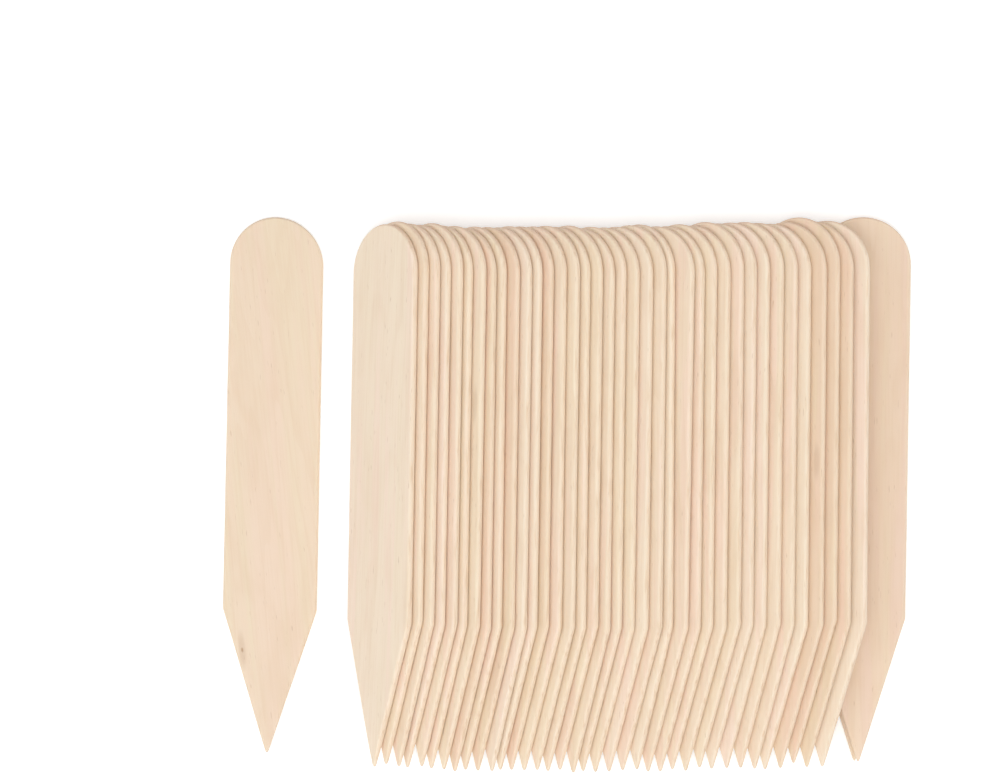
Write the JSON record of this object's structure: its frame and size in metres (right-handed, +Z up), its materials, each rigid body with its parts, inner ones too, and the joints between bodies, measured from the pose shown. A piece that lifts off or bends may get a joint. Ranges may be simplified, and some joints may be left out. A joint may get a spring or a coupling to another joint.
{
  "type": "plant label stake",
  "caption": "Flat wooden plant label stakes with rounded heads for writing and pointed ends for soil, leaning together in a row beside a loose stake.",
  "frame": {"origin": "on the table, under the middle of the whole group", "axes": "+X along the row, from the loose stake to the flat pile; +Y from the points to the rounded heads; +Z up from the table"},
  "size_m": [0.1268, 0.103, 0.0133],
  "materials": {
    "birch": "bare wood, tumbled smooth, unvarnished"
  },
  "bodies": {
    "flat_stake_2": {"flat_stake_2": "birch"},
    "leaning_stake_01": {"leaning_stake_01": "birch"},
    "leaning_stake_02": {"leaning_stake_02": "birch"},
    "leaning_stake_03": {"leaning_stake_03": "birch"},
    "leaning_stake_04": {"leaning_stake_04": "birch"},
    "leaning_stake_05": {"leaning_stake_05": "birch"},
    "leaning_stake_06": {"leaning_stake_06": "birch"},
    "leaning_stake_07": {"leaning_stake_07": "birch"},
    "leaning_stake_08": {"leaning_stake_08": "birch"},
    "leaning_stake_09": {"leaning_stake_09": "birch"},
    "leaning_stake_10": {"leaning_stake_10": "birch"},
    "leaning_stake_11": {"leaning_stake_11": "birch"},
    "leaning_stake_12": {"leaning_stake_12": "birch"},
    "leaning_stake_13": {"leaning_stake_13": "birch"},
    "leaning_stake_14": {"leaning_stake_14": "birch"},
    "leaning_stake_15": {"leaning_stake_15": "birch"},
    "leaning_stake_16": {"leaning_stake_16": "birch"},
    "leaning_stake_17": {"leaning_stake_17": "birch"},
    "leaning_stake_18": {"leaning_stake_18": "birch"},
    "leaning_stake_19": {"leaning_stake_19": "birch"},
    "leaning_stake_20": {"leaning_stake_20": "birch"},
    "leaning_stake_21": {"leaning_stake_21": "birch"},
    "leaning_stake_22": {"leaning_stake_22": "birch"},
    "leaning_stake_23": {"leaning_stake_23": "birch"},
    "leaning_stake_24": {"leaning_stake_24": "birch"},
    "leaning_stake_25": {"leaning_stake_25": "birch"},
    "leaning_stake_26": {"leaning_stake_26": "birch"},
    "leaning_stake_27": {"leaning_stake_27": "birch"},
    "leaning_stake_28": {"leaning_stake_28": "birch"},
    "leaning_stake_29": {"leaning_stake_29": "birch"},
    "leaning_stake_30": {"leaning_stake_30": "birch"},
    "leaning_stake_31": {"leaning_stake_31": "birch"},
    "leaning_stake_32": {"leaning_stake_32": "birch"},
    "leaning_stake_33": {"leaning_stake_33": "birch"},
    "leaning_stake_34": {"leaning_stake_34": "birch"},
    "leaning_stake_35": {"leaning_stake_35": "birch"},
    "leaning_stake_36": {"leaning_stake_36": "birch"},
    "leaning_stake_37": {"leaning_stake_37": "birch"},
    "flat_stake_1": {"flat_stake_1": "birch"},
    "loose_stake": {"loose_stake": "birch"}
  },
  "joints": [
    {"name": "leaning_stake_01_lift", "type": "slide", "parent": "flat_stake_2", "child": "leaning_stake_01", "axis": [0, 0, 1], "range_m": [0, 0.03]},
    {"name": "leaning_stake_02_draw", "type": "slide", "parent": "flat_stake_2", "child": "leaning_stake_02", "axis": [0, 1, 0], "range_m": [0, 0.11]},
    {"name": "leaning_stake_03_draw", "type": "slide", "parent": "flat_stake_2", "child": "leaning_stake_03", "axis": [0, 1, 0], "range_m": [0, 0.11]},
    {"name": "leaning_stake_04_draw", "type": "slide", "parent": "flat_stake_2", "child": "leaning_stake_04", "axis": [0, 1, 0], "range_m": [0, 0.11]},
    {"name": "leaning_stake_05_draw", "type": "slide", "parent": "flat_stake_2", "child": "leaning_stake_05", "axis": [0, 1, 0], "range_m": [0, 0.11]},
    {"name": "leaning_stake_06_draw", "type": "slide", "parent": "flat_stake_2", "child": "leaning_stake_06", "axis": [0, 1, 0], "range_m": [0, 0.11]},
    {"name": "leaning_stake_07_draw", "type": "slide", "parent": "flat_stake_2", "child": "leaning_stake_07", "axis": [0, 1, 0], "range_m": [0, 0.11]},
    {"name": "leaning_stake_08_draw", "type": "slide", "parent": "flat_stake_2", "child": "leaning_stake_08", "axis": [0, 1, 0], "range_m": [0, 0.11]},
    {"name": "leaning_stake_09_draw", "type": "slide", "parent": "flat_stake_2", "child": "leaning_stake_09", "axis": [0, 1, 0], "range_m": [0, 0.11]},
    {"name": "leaning_stake_10_draw", "type": "slide", "parent": "flat_stake_2", "child": "leaning_stake_10", "axis": [0, 1, 0], "range_m": [0, 0.11]},
    {"name": "leaning_stake_11_draw", "type": "slide", "parent": "flat_stake_2", "child": "leaning_stake_11", "axis": [0, 1, 0], "range_m": [0, 0.11]},
    {"name": "leaning_stake_12_draw", "type": "slide", "parent": "flat_stake_2", "child": "leaning_stake_12", "axis": [0, 1, 0], "range_m": [0, 0.11]},
    {"name": "leaning_stake_13_draw", "type": "slide", "parent": "flat_stake_2", "child": "leaning_stake_13", "axis": [0, 1, 0], "range_m": [0, 0.11]},
    {"name": "leaning_stake_14_draw", "type": "slide", "parent": "flat_stake_2", "child": "leaning_stake_14", "axis": [0, 1, 0], "range_m": [0, 0.11]},
    {"name": "leaning_stake_15_draw", "type": "slide", "parent": "flat_stake_2", "child": "leaning_stake_15", "axis": [0, 1, 0], "range_m": [0, 0.11]},
    {"name": "leaning_stake_16_draw", "type": "slide", "parent": "flat_stake_2", "child": "leaning_stake_16", "axis": [0, 1, 0], "range_m": [0, 0.11]},
    {"name": "leaning_stake_17_draw", "type": "slide", "parent": "flat_stake_2", "child": "leaning_stake_17", "axis": [0, 1, 0], "range_m": [0, 0.11]},
    {"name": "leaning_stake_18_draw", "type": "slide", "parent": "flat_stake_2", "child": "leaning_stake_18", "axis": [0, 1, 0], "range_m": [0, 0.11]},
    {"name": "leaning_stake_19_draw", "type": "slide", "parent": "flat_stake_2", "child": "leaning_stake_19", "axis": [0, 1, 0], "range_m": [0, 0.11]},
    {"name": "leaning_stake_20_draw", "type": "slide", "parent": "flat_stake_2", "child": "leaning_stake_20", "axis": [0, 1, 0], "range_m": [0, 0.11]},
    {"name": "leaning_stake_21_draw", "type": "slide", "parent": "flat_stake_2", "child": "leaning_stake_21", "axis": [0, 1, 0], "range_m": [0, 0.11]},
    {"name": "leaning_stake_22_draw", "type": "slide", "parent": "flat_stake_2", "child": "leaning_stake_22", "axis": [0, 1, 0], "range_m": [0, 0.11]},
    {"name": "leaning_stake_23_draw", "type": "slide", "parent": "flat_stake_2", "child": "leaning_stake_23", "axis": [0, 1, 0], "range_m": [0, 0.11]},
    {"name": "leaning_stake_24_draw", "type": "slide", "parent": "flat_stake_2", "child": "leaning_stake_24", "axis": [0, 1, 0], "range_m": [0, 0.11]},
    {"name": "leaning_stake_25_draw", "type": "slide", "parent": "flat_stake_2", "child": "leaning_stake_25", "axis": [0, 1, 0], "range_m": [0, 0.11]},
    {"name": "leaning_stake_26_draw", "type": "slide", "parent": "flat_stake_2", "child": "leaning_stake_26", "axis": [0, 1, 0], "range_m": [0, 0.11]},
    {"name": "leaning_stake_27_draw", "type": "slide", "parent": "flat_stake_2", "child": "leaning_stake_27", "axis": [0, 1, 0], "range_m": [0, 0.11]},
    {"name": "leaning_stake_28_draw", "type": "slide", "parent": "flat_stake_2", "child": "leaning_stake_28", "axis": [0, 1, 0], "range_m": [0, 0.11]},
    {"name": "leaning_stake_29_draw", "type": "slide", "parent": "flat_stake_2", "child": "leaning_stake_29", "axis": [0, 1, 0], "range_m": [0, 0.11]},
    {"name": "leaning_stake_30_draw", "type": "slide", "parent": "flat_stake_2", "child": "leaning_stake_30", "axis": [0, 1, 0], "range_m": [0, 0.11]},
    {"name": "leaning_stake_31_draw", "type": "slide", "parent": "flat_stake_2", "child": "leaning_stake_31", "axis": [0, 1, 0], "range_m": [0, 0.11]},
    {"name": "leaning_stake_32_draw", "type": "slide", "parent": "flat_stake_2", "child": "leaning_stake_32", "axis": [0, 1, 0], "range_m": [0, 0.11]},
    {"name": "leaning_stake_33_draw", "type": "slide", "parent": "flat_stake_2", "child": "leaning_stake_33", "axis": [0, 1, 0], "range_m": [0, 0.11]},
    {"name": "leaning_stake_34_draw", "type": "slide", "parent": "flat_stake_2", "child": "leaning_stake_34", "axis": [0, 1, 0], "range_m": [0, 0.11]},
    {"name": "leaning_stake_35_draw", "type": "slide", "parent": "flat_stake_2", "child": "leaning_stake_35", "axis": [0, 1, 0], "range_m": [0, 0.11]},
    {"name": "leaning_stake_36_draw", "type": "slide", "parent": "flat_stake_2", "child": "leaning_stake_36", "axis": [0, 1, 0], "range_m": [0, 0.11]},
    {"name": "leaning_stake_37_draw", "type": "slide", "parent": "flat_stake_2", "child": "leaning_stake_37", "axis": [0, 1, 0], "range_m": [0, 0.11]},
    {"name": "flat_stake_1_draw", "type": "slide", "parent": "flat_stake_2", "child": "flat_stake_1", "axis": [0, 1, 0], "range_m": [0, 0.11]},
    {"name": "loose_stake_lift", "type": "slide", "parent": "flat_stake_2", "child": "loose_stake", "axis": [0, 0, 1], "range_m": [0, 0.03]}
  ]
}
